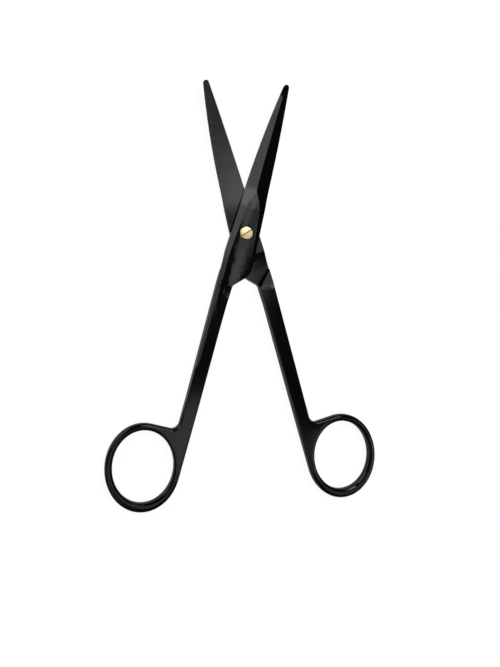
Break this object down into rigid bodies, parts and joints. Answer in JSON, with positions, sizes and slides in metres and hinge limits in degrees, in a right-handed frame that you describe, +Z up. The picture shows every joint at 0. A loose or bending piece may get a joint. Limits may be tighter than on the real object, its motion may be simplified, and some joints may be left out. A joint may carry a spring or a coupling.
{
  "type": "facelift scissors",
  "caption": "Fine surgical scissors with slightly curved blunt-tipped blades, slim shanks and oval finger rings, crossing at a slotted pivot screw.",
  "frame": {"origin": "on the pivot axis, in the plane of the joint's lower flat on which the scissors lie", "axes": "+Y from the rings to the tips along the middle of the opening, +Z up along the pivot axis towards the screw's slotted head"},
  "size_m": [0.0986, 0.1463, 0.0067],
  "materials": {
    "black_steel": "satin black hard coating on stainless steel",
    "gold_screw": "polished, gold coloured"
  },
  "bodies": {
    "lower": {"lower_half": "black_steel", "pivot_screw": "gold_screw"},
    "upper": {"upper_half": "black_steel"}
  },
  "joints": [
    {"name": "pivot", "type": "hinge", "parent": "lower", "child": "upper", "pos_m": [0, 0, 0.0026], "axis": [0, 0, 1], "range_deg": [-64, 30.5]}
  ]
}
